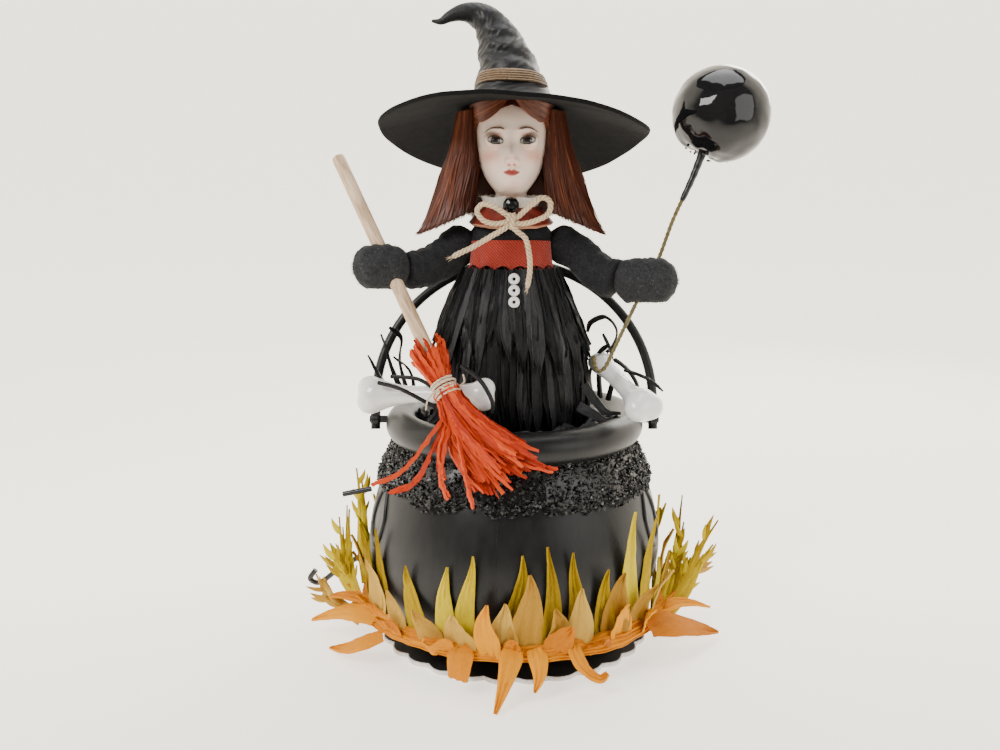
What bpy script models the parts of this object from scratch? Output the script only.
"""Witch figure standing in a small cauldron, holding a broom and a ball on a wire.

Metres, +Z up, the figure looks along -Y, and the origin is the centre of the base disc's underside.
"""

import math
import random

import bmesh
import bpy
from mathutils import Matrix, Vector

# Driving dimensions
GAP = 0.0003
FIGURE_X = -0.0010
POST_R = 0.0020
POST_BORE_R = 0.0024

DISC_R = 0.0372
DISC_THICK = 0.0012
DISC_SCALLOPS = 28

RIM_R = 0.0314
RIM_TUBE_R = 0.0045
RIM_Z = 0.0604
WALL = 0.0016
BELLY = [(0.0325, 0.0050), (0.0365, 0.0100), (0.0393, 0.0165), (0.0411, 0.0240), (0.0408, 0.0320),
         (0.0390, 0.0400), (0.0370, 0.0460), (0.0345, 0.0510), (0.0330, 0.0548)]
BELLY_BY_HEIGHT = [(height, radius) for radius, height in BELLY]
BAND_HEIGHTS = (0.0462, 0.0490, 0.0520, 0.0546)
FOAM_R = 0.0260
FOAM_TOP = 0.0560

PEG_Z = 0.0610
PEG_R = 0.0010
BAIL_R = 0.0390
BAIL_RISE = 0.0055
BAIL_ROD = 0.0013
BAIL_LEAN = math.radians(15)

SKIRT_OUTLINE = [(0.0600, 0.0205), (0.0665, 0.0210), (0.0750, 0.0208), (0.0835, 0.0198), (0.0947, 0.0160),
                 (0.1036, 0.0122)]
SKIRT_DEPTH = 0.82
PAPER = 0.0009

TORSO_OUTLINE = [(0.1042, 0.0104), (0.1080, 0.0112), (0.1120, 0.0114), (0.1150, 0.0098), (0.1170, 0.0070),
                 (0.1180, 0.0046)]
TORSO_DEPTH = 0.74

SHOULDER_X = 0.0140
SHOULDER_Y = 0.0005
SHOULDER_Z = 0.1098
SHOULDER_R = 0.0057

HAT_X = -0.0012
HAT_HOLE_R = 0.0112
BRIM_R = 0.0372

STICK_TOP = Vector((-0.0478, 0.0020, 0.1331))
BINDING_AT = Vector((-0.0175, -0.0315, 0.0759))
STICK_R = 0.0018

BALL_AT = Vector((0.0533, -0.0080, 0.1441))
BALL_R = 0.0127
WIRE_R = 0.0007

COLOURS = {
    "black_card": ((0.015, 0.015, 0.015), 0.8, 0.0),
    "black_plastic": ((0.018, 0.018, 0.019), 0.38, 0.0),
    "black_crumb": ((0.012, 0.012, 0.013), 0.5, 0.0),
    "foam": ((0.16, 0.30, 0.17), 0.9, 0.0),
    "wood": ((0.80, 0.62, 0.42), 0.6, 0.0),
    "black_paper": ((0.020, 0.020, 0.022), 0.6, 0.0),
    "card": ((0.55, 0.47, 0.36), 0.8, 0.0),
    "felt": ((0.045, 0.047, 0.050), 0.95, 0.0),
    "red_ribbon": ((0.60, 0.07, 0.04), 0.6, 0.0),
    "white_bead": ((0.85, 0.84, 0.80), 0.25, 0.0),
    "white_cloth": ((0.82, 0.80, 0.76), 0.85, 0.0),
    "red_leather": ((0.33, 0.04, 0.03), 0.5, 0.0),
    "black_gem": ((0.010, 0.010, 0.012), 0.12, 0.0),
    "twine": ((0.72, 0.54, 0.34), 0.85, 0.0),
    "porcelain": ((0.86, 0.70, 0.62), 0.42, 0.0),
    "hair": ((0.26, 0.075, 0.028), 0.5, 0.0),
    "hat_felt": ((0.016, 0.016, 0.017), 0.95, 0.0),
    "hat_satin": ((0.030, 0.030, 0.034), 0.4, 0.0),
    "gold_satin": ((0.36, 0.20, 0.09), 0.35, 0.0),
    "armature_wire": ((0.35, 0.34, 0.32), 0.4, 0.9),
    "stem_wire": ((0.22, 0.19, 0.08), 0.5, 0.3),
    "black_tape": ((0.012, 0.012, 0.012), 0.25, 0.0),
    "red_raffia": ((0.78, 0.13, 0.045), 0.6, 0.0),
    "black_gloss": ((0.006, 0.006, 0.007), 0.06, 0.0),
    "white_gloss": ((0.86, 0.86, 0.84), 0.15, 0.0),
    "crepe_yellow": ((0.62, 0.50, 0.06), 0.8, 0.0),
    "crepe_tan": ((0.62, 0.42, 0.18), 0.8, 0.0),
    "crepe_orange": ((0.85, 0.36, 0.02), 0.8, 0.0),
}


# ---- helpers ----

def material(slot):
    found = bpy.data.materials.get(slot)
    if found:
        return found
    colour, roughness, metallic = COLOURS[slot]
    made = bpy.data.materials.new(slot)
    made.use_nodes = True
    shader = made.node_tree.nodes["Principled BSDF"]
    shader.inputs["Base Color"].default_value = (*colour, 1)
    shader.inputs["Roughness"].default_value = roughness
    shader.inputs["Metallic"].default_value = metallic
    made.diffuse_color = (*colour, 1)
    return made


def add(name, mesh_data, slot, parent=None):
    """Finishes a bmesh and puts it in the scene as one named object."""
    bmesh.ops.recalc_face_normals(mesh_data, faces=mesh_data.faces)
    if mesh_data.calc_volume(signed=True) < 0:
        bmesh.ops.reverse_faces(mesh_data, faces=mesh_data.faces)
    data = bpy.data.meshes.new(name)
    mesh_data.to_mesh(data)
    mesh_data.free()
    made = bpy.data.objects.new(name, data)
    made.data.materials.append(material(slot))
    bpy.context.scene.collection.objects.link(made)
    if parent:
        made.parent = parent
        made.matrix_parent_inverse = parent.matrix_world.inverted()
    return made


def pivot(name, place):
    made = bpy.data.objects.new(name, None)
    made.location = place
    made.empty_display_size = 0.01
    bpy.context.scene.collection.objects.link(made)
    bpy.context.view_layer.update()
    return made


def boolean(target, other, operation):
    """The other object is a helper from here on: it is kept out of renders."""
    change = target.modifiers.new(operation.lower() + "_" + other.name, "BOOLEAN")
    change.operation = operation
    change.object = other
    other.hide_render = True
    other.display_type = "WIRE"


def between(pairs, at):
    """The value at a height in a list of (height, value)."""
    if at <= pairs[0][0]:
        return pairs[0][1]
    for (low, first), (high, second) in zip(pairs, pairs[1:]):
        if at <= high:
            return first + (second - first) * (at - low) / (high - low)
    return pairs[-1][1]


def loft(name, rings, slot, parent=None, closed=False, thin=False):
    """A skin over rings that all have the same number of points. Closed joins the last ring to the first.

    Thin splits both sides of a four-point section along matching diagonals, so that a twisted wall keeps its thickness.
    """
    mesh_data = bmesh.new()
    loops = [[mesh_data.verts.new(point) for point in ring] for ring in rings]
    count = len(loops[0])
    pairs = list(zip(loops, loops[1:]))
    if closed:
        pairs.append((loops[-1], loops[0]))
    for first, second in pairs:
        for i in range(count):
            after = (i + 1) % count
            if thin and i == 3:
                mesh_data.faces.new((first[i], first[after], second[i]))
                mesh_data.faces.new((first[after], second[after], second[i]))
            elif thin:
                mesh_data.faces.new((first[i], first[after], second[after]))
                mesh_data.faces.new((first[i], second[after], second[i]))
            else:
                mesh_data.faces.new((first[i], first[after], second[after], second[i]))
    if not closed:
        mesh_data.faces.new(loops[0])
        mesh_data.faces.new(loops[-1])
    return add(name, mesh_data, slot, parent)


def ellipse(centre, across, deep, steps, back=None):
    """A level ring. Back is its depth on the +Y side, where that differs."""
    ring = []
    for i in range(steps):
        turn = 2 * math.pi * i / steps
        reach = back if back is not None and math.sin(turn) > 0 else deep
        ring.append(centre + Vector((across * math.cos(turn), reach * math.sin(turn), 0)))
    return ring


def turned(name, profile, steps, slot, parent=None, x=0.0):
    """A profile of (radius, height) spun about a vertical axis. It is closed, or both its ends are on the axis."""
    mesh_data = bmesh.new()
    points = [mesh_data.verts.new((x + radius, 0, height)) for radius, height in profile]
    for first, second in zip(points, points[1:]):
        mesh_data.edges.new((first, second))
    if profile[0][0] > 0 or profile[-1][0] > 0:
        mesh_data.edges.new((points[-1], points[0]))
    bmesh.ops.spin(mesh_data, geom=mesh_data.verts[:] + mesh_data.edges[:], cent=(x, 0, 0), axis=(0, 0, 1),
                   angle=2 * math.pi, steps=steps)
    bmesh.ops.remove_doubles(mesh_data, verts=mesh_data.verts, dist=0.000002)
    return add(name, mesh_data, slot, parent)


def smooth_route(points, count):
    """Points evenly along a Catmull-Rom curve through a route."""
    points = [Vector(point) for point in points]
    ends = [2 * points[0] - points[1]] + points + [2 * points[-1] - points[-2]]
    route = []
    for step in range(count):
        at = step / (count - 1) * (len(points) - 1)
        i = min(int(at), len(points) - 2)
        t = at - i
        a, b, c, d = ends[i:i + 4]
        route.append(0.5 * (2 * b + (c - a) * t + (2 * a - 5 * b + 4 * c - d) * t * t
                            + (3 * b - a - 3 * c + d) * t ** 3))
    return route


def tube_rings(route, radius, sides, width=1.0, side_hint=None):
    """Rings across a route, each turned as little as possible from the one before."""
    rings = []
    direction = (route[1] - route[0]).normalized()
    side = direction.cross(side_hint or Vector((0.31, 0.17, 0.93))).normalized()
    for i, point in enumerate(route):
        before = route[max(i - 1, 0)]
        after = route[min(i + 1, len(route) - 1)]
        direction = (after - before).normalized()
        side = (side - direction * side.dot(direction)).normalized()
        up = direction.cross(side)
        reach = radius(i / (len(route) - 1)) if callable(radius) else radius
        ring = []
        for k in range(sides):
            turn = 2 * math.pi * k / sides
            ring.append(point + side * reach * width * math.cos(turn) + up * reach * math.sin(turn))
        rings.append(ring)
    return rings


def tube(name, route, radius, sides, slot, parent=None, width=1.0, side_hint=None):
    return loft(name, tube_rings(route, radius, sides, width, side_hint), slot, parent)


def sleeve_tube(name, route, outer, inner, sides, slot, parent=None):
    """A tube with a bore from end to end."""
    outside = tube_rings(route, outer, sides)
    inside = tube_rings(route, inner, sides)
    return loft(name, outside + inside[::-1], slot, parent, closed=True)


def rod(name, start, end, radius, sides, slot, parent=None):
    return tube(name, [Vector(start), (Vector(start) + Vector(end)) / 2, Vector(end)], radius, sides, slot, parent)


def ball(name, centre, sizes, slot, parent=None, along=None, segments=16, rings=10):
    """An ellipsoid. Along turns its first axis to a direction."""
    mesh_data = bmesh.new()
    bmesh.ops.create_uvsphere(mesh_data, u_segments=segments, v_segments=rings, radius=1)
    turn = Vector((1, 0, 0)).rotation_difference(along).to_matrix().to_4x4() if along else Matrix()
    size = Matrix.Diagonal((*sizes, 1))
    bmesh.ops.transform(mesh_data, matrix=Matrix.Translation(centre) @ turn @ size, verts=mesh_data.verts)
    return add(name, mesh_data, slot, parent)


def ring_band(name, section, steps, slot, parent=None, x=FIGURE_X, depth=1.0, thin=False):
    """A band round a vertical axis. Section gives (radius, height) points for a turn and its step."""
    rings = []
    for i in range(steps):
        turn = 2 * math.pi * i / steps
        rings.append([Vector((x + r * math.cos(turn), r * depth * math.sin(turn), z)) for r, z in section(turn, i)])
    return loft(name, rings, slot, parent, closed=True, thin=thin)


# ---- base and cauldron ----

def make_base_disc():
    per_scallop = 4
    outline = []
    for i in range(DISC_SCALLOPS * per_scallop):
        turn = 2 * math.pi * i / (DISC_SCALLOPS * per_scallop)
        bulge = abs(math.sin(math.pi * i / per_scallop))
        reach = DISC_R + 0.0013 * bulge
        outline.append(Vector((reach * math.cos(turn), reach * math.sin(turn), 0)))
    rings = [outline, [point + Vector((0, 0, DISC_THICK)) for point in outline]]
    return loft("base_disc", rings, "black_card")


def rim_arc(start, end, steps):
    """Points round the rolled rim, between two angles in degrees."""
    found = []
    for i in range(steps + 1):
        turn = math.radians(start + (end - start) * i / steps)
        found.append((RIM_R + RIM_TUBE_R * math.cos(turn), RIM_Z + RIM_TUBE_R * math.sin(turn)))
    return found


def make_cauldron():
    floor_z = DISC_THICK + GAP
    outside = [(0.0, floor_z), (0.0255, floor_z)] + BELLY + rim_arc(-68, 208, 9)
    inside = [(radius - WALL, height) for radius, height in BELLY[::-2]]
    inside[0] = (0.0303, 0.0545)
    floor = [(0.0250, floor_z + WALL), (0.0, floor_z + WALL)]
    body = turned("cauldron", outside + inside + floor, 36, "black_plastic")
    for side in (-1, 1):
        shank = rod("peg_shank", (side * 0.0335, 0, PEG_Z), (side * 0.0414, 0, PEG_Z), PEG_R, 10, "black_plastic")
        head = rod("peg_head", (side * 0.0408, 0, PEG_Z), (side * 0.0418, 0, PEG_Z), 0.0018, 10, "black_plastic")
        boolean(body, shank, "UNION")
        boolean(body, head, "UNION")
    return body


def make_crumb_band():
    def section(turn, step):
        sag = 0.0012 * math.sin(3 * turn + 1) + (0.0010 if step % 2 else 0)
        heights = [BAND_HEIGHTS[0] - sag] + list(BAND_HEIGHTS[1:])
        inner = [(between(BELLY_BY_HEIGHT, height) + 2 * GAP, height) for height in heights]
        outer = [(radius + 0.0020, height) for radius, height in inner]
        return inner + outer[::-1]

    return ring_band("crumb_band", section, 36, "black_crumb", x=0)


def make_foam_plug():
    """Soft foam cut to the pot's inside and pressed in through the mouth. It grips the figure's post."""
    bottom = DISC_THICK + WALL + 3 * GAP
    clear = WALL + 0.0030
    sides = [(radius - clear, height) for radius, height in BELLY[1:-1]]
    profile = [(0.0, bottom), (0.0235, bottom), (0.0290, 0.0060)] + sides
    profile += [(FOAM_R, FOAM_TOP - 0.001), (FOAM_R - 0.001, FOAM_TOP), (POST_BORE_R, FOAM_TOP),
                (POST_BORE_R, 0.0195), (0.0, 0.0195)]
    return turned("foam_plug", profile, 24, "foam", x=FIGURE_X)


def make_post():
    return rod("figure_post", (FIGURE_X, 0, 0.0200), (FIGURE_X, 0, 0.1300), POST_R, 12, "wood")


def bail_point(along, side):
    """A point of the bail in its upright plane: the leg first, then the arch."""
    if along <= BAIL_RISE:
        return Vector((side * BAIL_R, 0, PEG_Z + along))
    turn = (along - BAIL_RISE) / BAIL_R
    return Vector((side * BAIL_R * math.cos(turn), 0, PEG_Z + BAIL_RISE + BAIL_R * math.sin(turn)))


def make_bail(axis):
    half = BAIL_RISE + BAIL_R * math.pi / 2
    left = [bail_point(-0.0030 + (half + 0.0030) * i / 14, -1) for i in range(15)]
    right = [Vector((-point.x, 0, point.z)) for point in left[:-1]]
    lean = Matrix.Translation((0, 0, PEG_Z)) @ Matrix.Rotation(-BAIL_LEAN, 4, "X") @ Matrix.Translation((0, 0, -PEG_Z))
    route = [lean @ point for point in left + right[::-1]]
    bail = tube("bail_handle", route, BAIL_ROD, 8, "black_plastic", axis)
    for side in (-1, 1):
        eye = rod("bail_eye", (side * (BAIL_R - 0.0013), 0, PEG_Z), (side * (BAIL_R + 0.0013), 0, PEG_Z), 0.0024, 12,
                  "black_plastic", axis)
        boolean(bail, eye, "UNION")
    for side in (-1, 1):
        hole = rod("bail_hole", (side * (BAIL_R - 0.0040), 0, PEG_Z), (side * (BAIL_R + 0.0040), 0, PEG_Z), 0.0013, 12,
                   "black_plastic", axis)
        boolean(bail, hole, "DIFFERENCE")
    return bail


def make_bones():
    def bone(name, start, end, knob_a, knob_b, shaft):
        start, end = Vector(start), Vector(end)

        def radius(t):
            if t < 0.5:
                return shaft + (knob_a - shaft) * math.exp(-((t - 0.07) / 0.13) ** 2)
            return shaft + (knob_b - shaft) * math.exp(-((t - 0.92) / 0.13) ** 2)

        def tapered(t):
            end_round = min(1.0, 0.45 + 9 * min(t, 1 - t))
            return radius(t) * end_round

        route = [start.lerp(end, i / 13) for i in range(14)]
        tube(name, route, tapered, 10, "white_gloss")

    bone("bone_left", (-0.0430, -0.0115, 0.0705), (-0.0080, -0.0245, 0.0733), 0.0050, 0.0042, 0.0030)
    bone("bone_right", (0.0325, -0.0235, 0.0703), (0.0242, -0.0010, 0.0772), 0.0050, 0.0032, 0.0028)


def make_black_strands():
    loop = smooth_route([(0.0245, 0.0046, 0.0660), (0.0240, 0.0044, 0.0770), (0.0272, 0.0034, 0.0840),
                         (0.0240, 0.0028, 0.0895), (0.0208, 0.0022, 0.0898)], 14)
    tube("raffia_loop", loop, 0.0005, 6, "black_paper", width=2.6, side_hint=Vector((1, 0, 0)))
    tuft = smooth_route([(-0.0300, -0.0040, 0.0675), (-0.0335, -0.0050, 0.0760), (-0.0365, -0.0055, 0.0860)], 8)
    tube("raffia_tuft", tuft, lambda t: 0.0006 - 0.0003 * t, 6, "black_paper", width=2.4)
    hook = smooth_route([(-0.0435, 0.0065, 0.0185), (-0.0468, 0.0070, 0.0168), (-0.0530, 0.0080, 0.0125),
                         (-0.0578, 0.0085, 0.0088), (-0.0607, 0.0085, 0.0100), (-0.0590, 0.0085, 0.0128)], 14)
    tube("wire_hook", hook, 0.0008, 6, "black_tape")
    stub = [Vector((-0.0412, 0.0040, 0.0393)), Vector((-0.0450, 0.0040, 0.0386)), Vector((-0.0495, 0.0040, 0.0377))]
    tube("wire_stub", stub, 0.0008, 6, "black_tape")


def make_rim_filling():
    def section(turn, step):
        lift = 0.0012 * math.sin(5 * turn) + (0.0008 if step % 2 else 0)
        return [(0.0216, 0.0586), (0.0242, 0.0586), (0.0246, 0.0612 + lift), (0.0216, 0.0622 + lift)]

    return ring_band("rim_filling", section, 30, "black_paper", depth=0.95)


# ---- flames ----

def make_flame_ring(name, slot, seed, spikes, inner, low, valley, tall, lean):
    """A fringed paper strip: a low wall all round, cut into points that stand up and lean out."""
    draw = random.Random(seed)
    wall = 0.0006
    shapes = []
    for i in range(spikes):
        turn = 2 * math.pi * i / spikes
        beside = abs(math.cos(turn)) > 0.93
        height = valley + (0.0010 if beside else (tall - valley) * (0.45 + 0.55 * draw.random()))
        reach = 0.0 if beside else lean * (0.3 + 0.7 * draw.random())
        shapes.append((height, reach))

    def section(turn, step):
        if step % 2:
            return [(inner, low), (inner + wall, low), (inner + wall, valley), (inner, valley)]
        height, reach = shapes[step // 2]
        return [(inner, low), (inner + wall + 0.0004, low), (inner + wall + reach + 0.0007, height),
                (inner + reach + 0.0005, height)]

    return ring_band(name, section, 2 * spikes, slot, x=0, thin=True)


def make_blade(name, root, tip, width, slot, flat, bow=0.0):
    """A pointed strip from its root to its tip, widest a third of the way along."""
    root, tip = Vector(root), Vector(tip)
    along = (tip - root).normalized()
    across = along.cross(Vector(flat)).normalized()
    up = across.cross(along)
    rings = []
    for t, share in ((0.0, 0.8), (0.35, 1.0), (0.7, 0.6), (1.0, 0.08)):
        middle = root.lerp(tip, t) + up * bow * math.sin(math.pi * t)
        half, thick = width * share / 2, 0.0004
        rings.append([middle + across * half + up * thick, middle - across * half + up * thick,
                      middle - across * half - up * thick, middle + across * half - up * thick])
    return loft(name, rings, slot)


def make_spray(name, side, tips, slot):
    """A bunch of crepe strips that share one glued root."""
    root = Vector((side * 0.0488, -0.0010, 0.0110))
    bunch = ball(name, root, (0.0014, 0.0024, 0.0030), slot, segments=10, rings=6)
    for i, tip in enumerate(tips):
        blade = make_blade(name + "_blade", root, tip, 0.0048, slot, (0, 1, 0.3 + 0.2 * i), bow=0.0010)
        boolean(bunch, blade, "UNION")
    return bunch


def make_flames():
    make_flame_ring("flame_ring_inner", "crepe_yellow", 3, 26, 0.0414, 0.0050, 0.0140, 0.0420, 0.0015)
    make_flame_ring("flame_ring_middle", "crepe_tan", 8, 22, 0.0430, 0.0045, 0.0115, 0.0300, 0.0030)
    make_flame_ring("flame_ring_outer", "crepe_orange", 5, 20, 0.0452, 0.0035, 0.0100, 0.0210, 0.0070)
    make_spray("flame_spray_right", 1, [(0.0583, 0.0000, 0.0312), (0.0570, -0.0105, 0.0045), (0.0492, 0.0050, 0.0371),
                                        (0.0560, 0.0070, 0.0180)], "crepe_orange")
    make_spray("flame_spray_left", -1, [(-0.0491, 0.0050, 0.0341), (-0.0520, -0.0020, 0.0250),
                                        (-0.0575, -0.0080, 0.0042), (-0.0461, 0.0130, 0.0429)], "crepe_yellow")
    strip = [(-0.0006, -0.0506, 0.0082), (-0.0012, -0.0532, 0.0066), (-0.0022, -0.0562, 0.0038), (-0.0036, -0.0592, 0.0010)]
    rings = []
    for (x, y, z), half in zip(strip, (0.0026, 0.0030, 0.0025, 0.0004)):
        rings.append([Vector((x + half, y, z + 0.0003)), Vector((x - half, y, z + 0.0003)),
                      Vector((x - half, y, z - 0.0003)), Vector((x + half, y, z - 0.0003))])
    loft("flame_strip_front", rings, "crepe_orange")


# ---- skirt and body ----

def skirt_ring(z, inset):
    reach = between(SKIRT_OUTLINE, z) - inset
    return ellipse(Vector((FIGURE_X, 0, z)), reach, reach * SKIRT_DEPTH, 24)


def make_skirt_core():
    inset = 2 * PAPER + 3 * GAP
    heights = (FOAM_TOP + GAP, 0.0665, 0.0750, 0.0835, 0.0947, 0.1036)
    outside = [skirt_ring(z, inset) for z in heights]
    inside = [ellipse(Vector((FIGURE_X, 0, z)), POST_BORE_R, POST_BORE_R, 24) for z in (heights[-1], heights[0])]
    return loft("skirt_core", outside + inside, "card", closed=True)


def make_skirt_tier(name, top, bottom, inset, jag):
    """A layer of paper strips round the skirt, cut to points along its lower edge."""
    steps = 36
    bends = [z for z, reach in SKIRT_OUTLINE if bottom + jag + 0.0010 < z < top - 0.0010]

    def section(turn, step):
        heights = [bottom + (jag if step % 2 else 0.0)] + bends + [top]
        outer = [(between(SKIRT_OUTLINE, z) - inset, z) for z in heights]
        inner = [(r - PAPER, z) for r, z in outer]
        return inner + outer[::-1]

    return ring_band(name, section, steps, "black_paper", depth=SKIRT_DEPTH)


def make_torso():
    outside = [ellipse(Vector((FIGURE_X, 0, z)), r, r * TORSO_DEPTH, 24) for z, r in TORSO_OUTLINE]
    inside = [ellipse(Vector((FIGURE_X, 0, z)), POST_BORE_R, POST_BORE_R, 24) for z in (0.1180, 0.1042)]
    torso = loft("torso", outside + inside, "felt", closed=True)
    for side in (-1, 1):
        socket = ball("shoulder_socket", (FIGURE_X + side * SHOULDER_X, SHOULDER_Y, SHOULDER_Z),
                      [SHOULDER_R + 2 * GAP] * 3, "felt", segments=16, rings=12)
        boolean(torso, socket, "DIFFERENCE")
    return torso


def make_belt():
    """Red ribbon across the front only, between the two sleeves, its lower edge cut in points."""
    rings = []
    steps = 14
    for i in range(steps + 1):
        turn = math.radians(-90 - 47 + 94 * i / steps)
        low = 0.1048 + (0.0008 if i % 2 else 0.0)
        high = 0.1114
        ring = []
        for z, extra in ((low, GAP), (low, 3 * GAP), (high, 3 * GAP), (high, GAP)):
            r = between(TORSO_OUTLINE, z) + extra + 0.0003
            ring.append(Vector((FIGURE_X + r * math.cos(turn), r * TORSO_DEPTH * math.sin(turn), z)))
        rings.append(ring)
    return loft("belt_ribbon", rings, "red_ribbon")


def make_buttons():
    for name, z in (("button_top", 0.1018), ("button_middle", 0.0988), ("button_bottom", 0.0958)):
        slope = between(SKIRT_OUTLINE, z) * SKIRT_DEPTH
        y = -slope - 0.0010
        mesh_data = bmesh.new()
        profile = [(0.0005, -0.0004), (0.0013, -0.0004), (0.0013, 0.0004), (0.0005, 0.0004)]
        points = [mesh_data.verts.new((-0.0003 + r, y + deep, z)) for r, deep in profile]
        for first, second in zip(points, points[1:] + points[:1]):
            mesh_data.edges.new((first, second))
        bmesh.ops.spin(mesh_data, geom=mesh_data.verts[:] + mesh_data.edges[:], cent=(-0.0003, y, z), axis=(0, 1, 0),
                       angle=2 * math.pi, steps=12)
        bmesh.ops.remove_doubles(mesh_data, verts=mesh_data.verts, dist=0.000002)
        tilt = Matrix.Translation((0, y, z)) @ Matrix.Rotation(math.radians(-14), 4, "X")
        bmesh.ops.transform(mesh_data, matrix=tilt @ Matrix.Translation((0, -y, -z)), verts=mesh_data.verts)
        add(name, mesh_data, "white_bead")


def make_collars():
    def red(turn, step):
        flare = 0.0012 * max(0.0, -math.sin(turn))
        return [(0.0070, 0.1196), (0.0078, 0.1198), (0.0112, 0.1153 - flare * 0.3), (0.0104, 0.1150 - flare * 0.3)]

    def white(turn, step):
        return [(0.0058, 0.1200), (0.0066, 0.1200), (0.0077, 0.1230), (0.0069, 0.1232)]

    ring_band("collar_red", red, 24, "red_leather", depth=0.84)
    ring_band("collar_white", white, 24, "white_cloth", depth=0.90)


def make_brooch():
    setting = rod("brooch_setting", (-0.0011, -0.0082, 0.1209), (-0.0011, -0.0090, 0.1209), 0.0017, 12, "black_gloss")
    mesh_data = bmesh.new()
    bmesh.ops.create_icosphere(mesh_data, subdivisions=2, radius=1)
    size = Matrix.Diagonal((0.0023, 0.0014, 0.0023, 1))
    bmesh.ops.transform(mesh_data, matrix=Matrix.Translation((-0.0011, -0.0108, 0.1209)) @ size, verts=mesh_data.verts)
    add("brooch_gem", mesh_data, "black_gem")
    return setting


def make_bow():
    """One length of twine, kept as its knot, its two loops and its two tails."""
    twine_r = 0.00075
    ball("bow_knot", (-0.0009, -0.0133, 0.1170), (0.0015, 0.0012, 0.0015), "twine", segments=12, rings=8)
    routes = {
        "bow_loop_left": [(-0.0028, -0.0138, 0.1180), (-0.0055, -0.0142, 0.1206), (-0.0085, -0.0138, 0.1212),
                          (-0.0098, -0.0134, 0.1192), (-0.0082, -0.0136, 0.1170), (-0.0053, -0.0140, 0.1162),
                          (-0.0032, -0.0138, 0.1168)],
        "bow_loop_right": [(0.0011, -0.0138, 0.1180), (0.0037, -0.0142, 0.1208), (0.0068, -0.0138, 0.1229),
                           (0.0090, -0.0134, 0.1216), (0.0084, -0.0136, 0.1187), (0.0052, -0.0140, 0.1170),
                           (0.0012, -0.0138, 0.1163)],
        "bow_tail_left": [(-0.0024, -0.0142, 0.1148), (-0.0060, -0.0142, 0.1132), (-0.0110, -0.0140, 0.1103),
                          (-0.0164, -0.0138, 0.1077)],
        "bow_tail_right": [(-0.0001, -0.0142, 0.1146), (0.0024, -0.0142, 0.1128), (0.0034, -0.0140, 0.1090),
                           (0.0038, -0.0144, 0.1045), (0.0031, -0.0150, 0.0996)],
    }
    for name, route in routes.items():
        tube(name, smooth_route(route, 3 * len(route) - 2), twine_r, 6, "twine")


# ---- head, hair and hat ----

def make_head(axis):
    outline = [(0.1243, 0.0050, 0.0100, 0.0060), (0.1262, 0.0074, 0.0114, 0.0085), (0.1298, 0.0089, 0.0119, 0.0100),
               (0.1335, 0.0097, 0.0121, 0.0106), (0.1380, 0.0101, 0.0121, 0.0104), (0.1430, 0.0098, 0.0115, 0.0095),
               (0.1465, 0.0086, 0.0098, 0.0086), (0.1490, 0.0066, 0.0074, 0.0066), (0.1505, 0.0032, 0.0036, 0.0034)]
    rings = [ellipse(Vector((FIGURE_X, 0, z)), across, front, 24, back) for z, across, front, back in outline]
    neck = [ellipse(Vector((FIGURE_X, 0, z)), 0.0044, 0.0044, 24) for z in (0.1186, 0.1236)]
    head = loft("head", neck + rings, "porcelain", axis)
    nose = loft("nose", [[Vector((FIGURE_X + x, y, z)) for x, y in points] for z, points in (
        (0.1338, ((-0.0014, -0.0115), (0, -0.0134), (0.0014, -0.0115))),
        (0.1349, ((-0.0013, -0.0115), (0, -0.0139), (0.0013, -0.0115))),
        (0.1385, ((-0.0008, -0.0112), (0, -0.0125), (0.0008, -0.0112))))], "porcelain", axis)
    boolean(head, nose, "UNION")
    bore = rod("neck_bore", (FIGURE_X, 0, 0.1150), (FIGURE_X, 0, 0.1306), POST_BORE_R, 12, "porcelain", axis)
    boolean(head, bore, "DIFFERENCE")
    return head


def make_lock(name, stations, axis):
    """A lock of hair. Each station gives its inner and outer (x, z), its middle y and its half depth."""
    rings = []
    for (inner_x, inner_z), (outer_x, outer_z), y, deep in stations:
        middle = Vector(((inner_x + outer_x) / 2, y, (inner_z + outer_z) / 2))
        reach = Vector(((outer_x - inner_x) / 2, 0, (outer_z - inner_z) / 2))
        ring = []
        for i in range(16):
            turn = 2 * math.pi * i / 16
            ring.append(middle + reach * math.cos(turn) + Vector((0, deep * math.sin(turn), 0)))
        rings.append(ring)
    return loft(name, rings, "hair", axis)


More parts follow.
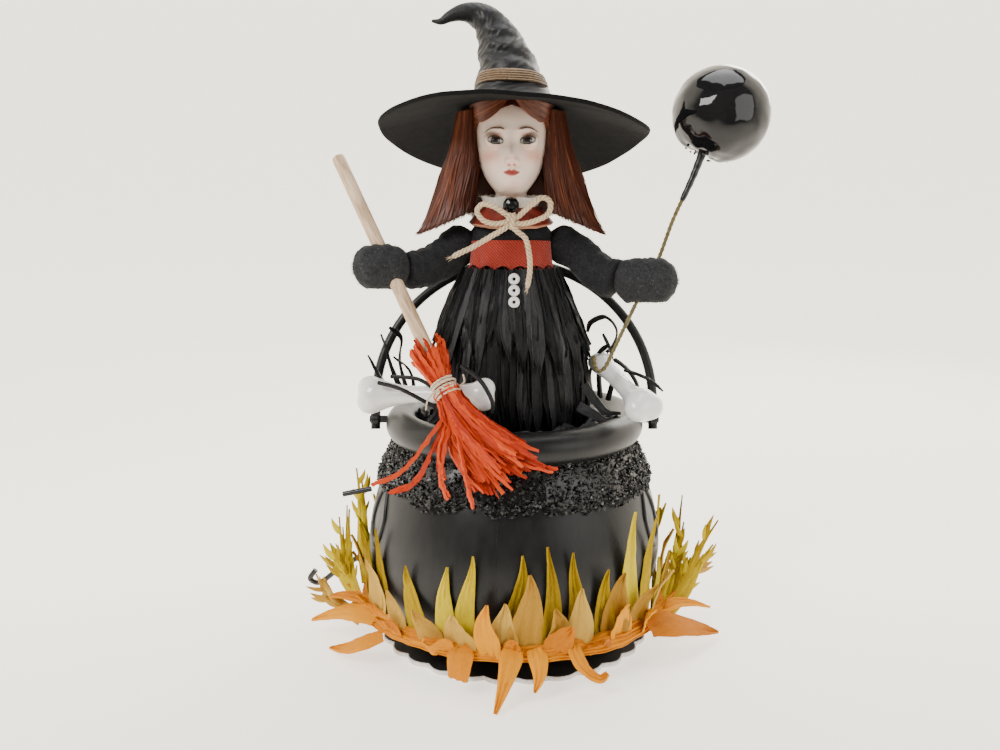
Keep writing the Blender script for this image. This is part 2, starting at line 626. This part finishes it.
def make_hair(axis):
    make_lock("hair_left", [((-0.0118, 0.1430), (-0.0136, 0.1426), -0.0005, 0.0060),
                            ((-0.0119, 0.1370), (-0.0152, 0.1365), -0.0010, 0.0075),
                            ((-0.0112, 0.1300), (-0.0172, 0.1290), -0.0015, 0.0080),
                            ((-0.0104, 0.1245), (-0.0200, 0.1220), -0.0015, 0.0080),
                            ((-0.0112, 0.1200), (-0.0250, 0.1122), -0.0010, 0.0075)], axis)
    make_lock("hair_right", [((0.0116, 0.1424), (0.0098, 0.1430), -0.0005, 0.0060),
                             ((0.0136, 0.1365), (0.0099, 0.1370), -0.0010, 0.0075),
                             ((0.0162, 0.1290), (0.0092, 0.1300), -0.0015, 0.0080),
                             ((0.0190, 0.1220), (0.0084, 0.1245), -0.0015, 0.0080),
                             ((0.0238, 0.1120), (0.0096, 0.1200), -0.0010, 0.0075)], axis)
    rings = []
    for z, half, near, far in ((0.1385, 0.0095, 0.0122, 0.0150), (0.1300, 0.0105, 0.0122, 0.0158),
                               (0.1210, 0.0120, 0.0120, 0.0160), (0.1135, 0.0125, 0.0118, 0.0158)):
        rings.append([Vector((FIGURE_X + half, near - 0.0012, z)), Vector((FIGURE_X + half * 0.9, far - 0.0025, z)),
                      Vector((FIGURE_X, far, z)), Vector((FIGURE_X - half * 0.9, far - 0.0025, z)),
                      Vector((FIGURE_X - half, near - 0.0012, z)), Vector((FIGURE_X, near, z))])
    loft("hair_back", rings, "hair", axis)
    fringe = []
    steps = 12
    for i in range(steps + 1):
        turn = math.radians(-90 - 60 + 120 * i / steps)
        part = abs(2 * i / steps - 1)
        low = 0.1440 - 0.0035 * part ** 2
        ring = []
        for reach, z in ((GAP + 0.0002, low), (GAP + 0.0012, low), (GAP + 0.0012, 0.1462), (GAP + 0.0002, 0.1462)):
            across = 0.0101 + reach
            deep = 0.0120 + reach
            ring.append(Vector((FIGURE_X + across * math.cos(turn), deep * math.sin(turn), z)))
        fringe.append(ring)
    loft("hair_fringe", fringe, "hair", axis)


def brim_height(turn, share):
    """The brim's middle height, by its angle and how far out it is. It is tipped back, and its edge hangs."""
    back = math.sin(turn)
    inner = 0.1462 - 0.0027 * back - 0.0009 * back * back
    outer = 0.1402 - 0.0090 * back - 0.0022 * back * back + 0.0013 * math.cos(turn) * -1
    outer += 0.0008 * math.sin(3 * turn + 0.6)
    return inner + (outer - inner) * share ** 1.2


def make_hat(axis):
    thick = 0.0006

    def section(turn, step):
        shares = (0.0, 0.35, 0.7, 1.0)
        radii = [HAT_HOLE_R + 0.0002 + (BRIM_R - HAT_HOLE_R) * share for share in shares]
        under = [(r, brim_height(turn, share) - thick) for r, share in zip(radii, shares)]
        over = [(r, brim_height(turn, share) + thick) for r, share in zip(radii, shares)]
        return under + over[::-1]

    brim = ring_band("hat_brim", section, 36, "hat_felt", axis, x=HAT_X)

    spine = [((-0.0012, 0.0000, 0.1486), 0.0110), ((-0.0014, 0.0008, 0.1530), 0.0099), ((-0.0021, 0.0020, 0.1575), 0.0082),
             ((-0.0032, 0.0028, 0.1620), 0.0067), ((-0.0045, 0.0032, 0.1668), 0.0052), ((-0.0068, 0.0032, 0.1705), 0.0042),
             ((-0.0100, 0.0028, 0.1728), 0.0032), ((-0.0140, 0.0020, 0.1732), 0.0024), ((-0.0172, 0.0014, 0.1716), 0.0017),
             ((-0.0194, 0.0010, 0.1694), 0.0012), ((-0.0212, 0.0008, 0.1694), 0.0006)]
    route = [Vector(place) for place, radius in spine]
    radii = [radius for place, radius in spine]
    last = len(spine) - 1

    def outer(t):
        return radii[round(t * last)]

    outside = tube_rings(route, outer, 20, side_hint=Vector((0, 1, 0)))
    base = []
    for i, point in enumerate(outside[0]):
        offset = point - route[0]
        turn = math.atan2(offset.y, offset.x)
        base.append(Vector((HAT_X + radii[0] * math.cos(turn), radii[0] * math.sin(turn),
                            brim_height(turn, 0) + thick + 0.0004)))
    outside[0] = base
    wall = 0.0008
    inside = []
    for ring, centre, radius in list(zip(outside, route, radii))[:4]:
        shrink = (radius - wall) / radius
        inside.append([Vector((centre.x + (p.x - centre.x) * shrink, centre.y + (p.y - centre.y) * shrink, p.z))
                       for p in ring])
    inside[3] = [p - Vector((0, 0, 0.0012)) for p in inside[3]]
    crown = loft("hat_crown", inside[::-1] + outside, "hat_satin", axis)

    low, high = 0.25, 0.85
    band = []
    for share, extra in ((low, 0.0003), (high, 0.0003), (high, 0.0010), (low, 0.0010)):
        ring = []
        for a, b in zip(outside[0], outside[1]):
            point = a.lerp(b, share) if share < 1 else b
            centre = route[0].lerp(route[1], share)
            away = Vector((point.x - centre.x, point.y - centre.y, 0)).normalized()
            ring.append(point + away * extra)
        band.append(ring)
    band[1] = [p + Vector((0, 0, 0.0006)) for p in band[1]]
    band[2] = [p + Vector((0, 0, 0.0006)) for p in band[2]]
    loft("hat_band", band, "gold_satin", axis, closed=True)
    return brim, crown


# ---- arms ----

def make_arm(side, name, bends, wrist, mitten_at, mitten_along, mitten_size, axis, grip_start, grip_end, grip_r):
    """A felt sleeve with a ball end in the shoulder, a mitten, and the wire that runs through both."""
    shoulder = Vector((FIGURE_X + side * SHOULDER_X, SHOULDER_Y, SHOULDER_Z))
    wrist = Vector(wrist)
    mitten_at = Vector(mitten_at)
    mitten_along = Vector(mitten_along).normalized()
    route = smooth_route([shoulder] + [Vector(bend) for bend in bends] + [wrist], 10)

    def thick(t):
        return 0.0056 - 0.0006 * t

    sleeve = tube(name + "_sleeve", route, thick, 14, "felt", axis)
    joint_ball = ball(name + "_shoulder_ball", shoulder, [SHOULDER_R] * 3, "felt", axis, segments=14, rings=10)
    boolean(sleeve, joint_ball, "UNION")
    first_way = (route[1] - route[0]).normalized()
    last_way = (route[-1] - route[-2]).normalized()
    bore_route = [shoulder - first_way * 0.0015] + route[1:] + [wrist + last_way * 0.0030]
    bore = tube(name + "_sleeve_bore", bore_route, 0.0011, 8, "felt", axis)
    boolean(sleeve, bore, "DIFFERENCE")

    hand_along = (mitten_at - wrist).normalized()
    mitten = ball(name + "_mitten", mitten_at, mitten_size, "felt", axis, along=mitten_along, segments=14, rings=10)
    keep_off = wrist + last_way * 0.0004
    cuff = rod(name + "_cuff_cut", keep_off - last_way * 0.0150, keep_off, 0.0110, 12, "felt", axis)
    boolean(mitten, cuff, "DIFFERENCE")
    wire_end = wrist + hand_along * 0.0022
    socket = rod(name + "_wire_socket", wrist - hand_along * 0.002, wire_end + hand_along * 0.0004, 0.0011, 8, "felt", axis)
    boolean(mitten, socket, "DIFFERENCE")
    grip = rod(name + "_grip_hole", grip_start, grip_end, grip_r, 14, "felt", axis)
    boolean(mitten, grip, "DIFFERENCE")
    tube(name + "_arm_wire", route + [wire_end], WIRE_R, 6, "armature_wire", axis)
    return mitten


# ---- broom and ball on a wire ----

def make_broom(axis):
    along = (BINDING_AT - STICK_TOP).normalized()
    stick_end = BINDING_AT + along * 0.0035
    rod("broom_stick", STICK_TOP, stick_end, STICK_R, 12, "wood", axis)
    upper = BINDING_AT - along * 0.0150
    route = [upper, BINDING_AT - along * 0.0080, BINDING_AT - along * 0.0022, BINDING_AT + along * 0.0018,
             BINDING_AT + Vector((0.0030, -0.0030, -0.0050)), BINDING_AT + Vector((0.0085, -0.0065, -0.0110)),
             Vector((0.0010, -0.0425, 0.0565))]
    halves = [(0.0048, 0.0038), (0.0042, 0.0034), (0.0029, 0.0029), (0.0029, 0.0027), (0.0044, 0.0028), (0.0072, 0.0028),
              (0.0102, 0.0024)]
    flat = Vector((0.74, -0.35, 0.58))
    rings = []
    for i, (point, (wide, thick)) in enumerate(zip(route, halves)):
        direction = (route[min(i + 1, 6)] - route[max(i - 1, 0)]).normalized()
        side = (flat - direction * flat.dot(direction)).normalized()
        up = direction.cross(side)
        rings.append([point + side * wide * math.cos(2 * math.pi * k / 14) + up * thick * math.sin(2 * math.pi * k / 14)
                      for k in range(14)])
    bristles = loft("broom_bristles", rings, "red_raffia", axis)
    bore = rod("bristle_bore", upper - along * 0.004, stick_end + along * 0.0004, STICK_R + GAP, 12, "red_raffia", axis)
    boolean(bristles, bore, "DIFFERENCE")
    sleeve_tube("broom_binding", [BINDING_AT - along * 0.0020, BINDING_AT - along * 0.0001, BINDING_AT + along * 0.0016],
                0.0038, 0.0032, 16, "twine", axis)
    return along


def make_balloon(axis):
    foot = BALL_AT + Vector((-0.0038, 0, -0.0080))
    route = smooth_route([foot, (0.0462, -0.0088, 0.1275), (0.0415, -0.0098, 0.1172), (0.0378, -0.0105, 0.1069),
                          (0.0330, -0.0120, 0.0975), (0.0262, -0.0150, 0.0838), (0.0232, -0.0170, 0.0786),
                          (0.0208, -0.0190, 0.0790), (0.0204, -0.0198, 0.0822)], 33)
    tube("balloon_wire", route, WIRE_R, 6, "stem_wire", axis)
    lump = ball("balloon_ball", BALL_AT, (BALL_R, BALL_R, BALL_R * 0.97), "black_gloss", axis, segments=22, rings=14)
    socket_way = (route[2] - route[0]).normalized()
    socket = rod("ball_socket", foot - socket_way * 0.0005, foot + socket_way * 0.0080, WIRE_R + GAP, 10, "black_gloss", axis)
    boolean(lump, socket, "DIFFERENCE")
    taped = [point for point in route if 0.1200 < point.z < BALL_AT.z - BALL_R - 0.0002]
    sleeve_tube("balloon_tape", taped, 0.0014, WIRE_R + GAP, 10, "black_tape", axis)
    return route


def main():
    for old in list(bpy.data.objects):
        bpy.data.objects.remove(old)
    make_base_disc()
    make_cauldron()
    make_crumb_band()
    make_foam_plug()
    make_post()
    make_rim_filling()
    make_bones()
    make_black_strands()
    make_flames()
    make_skirt_core()
    make_skirt_tier("skirt_tier_lower", 0.0900, 0.0600, PAPER + GAP, 0.0025)
    make_skirt_tier("skirt_tier_upper", 0.1035, 0.0780, 0.0, 0.0040)
    make_torso()
    make_belt()
    make_buttons()
    make_collars()
    make_brooch()
    make_bow()

    bail_axis = pivot("bail_axis", (0, 0, PEG_Z))
    make_bail(bail_axis)

    head_axis = pivot("head_axis", (FIGURE_X, 0, 0.1240))
    make_head(head_axis)
    make_hair(head_axis)
    make_hat(head_axis)

    right_axis = pivot("right_arm_axis", (FIGURE_X - SHOULDER_X, SHOULDER_Y, SHOULDER_Z))
    make_arm(-1, "right", [(-0.0196, -0.0038, 0.1062), (-0.0245, -0.0085, 0.1042)], (-0.0284, -0.0116, 0.1040),
             (-0.0348, -0.0142, 0.1048), (-0.94, -0.32, 0.06), (0.0080, 0.0062, 0.0058), right_axis,
             STICK_TOP, BINDING_AT, STICK_R + GAP)
    broom_axis = pivot("broom_axis", STICK_TOP)
    make_broom(broom_axis)

    left_axis = pivot("left_arm_axis", (FIGURE_X + SHOULDER_X, SHOULDER_Y, SHOULDER_Z))
    make_arm(1, "left", [(0.0178, -0.0030, 0.1068), (0.0225, -0.0070, 0.1030)], (0.0268, -0.0098, 0.1010),
             (0.0338, -0.0118, 0.1010), (0.97, -0.22, 0.05), (0.0088, 0.0062, 0.0060), left_axis,
             (0.0402, -0.0097, 0.1116), (0.0306, -0.0128, 0.0928), WIRE_R + 2 * GAP)
    balloon_axis = pivot("balloon_axis", (0.0345, -0.0116, 0.1010))
    make_balloon(balloon_axis)


main()
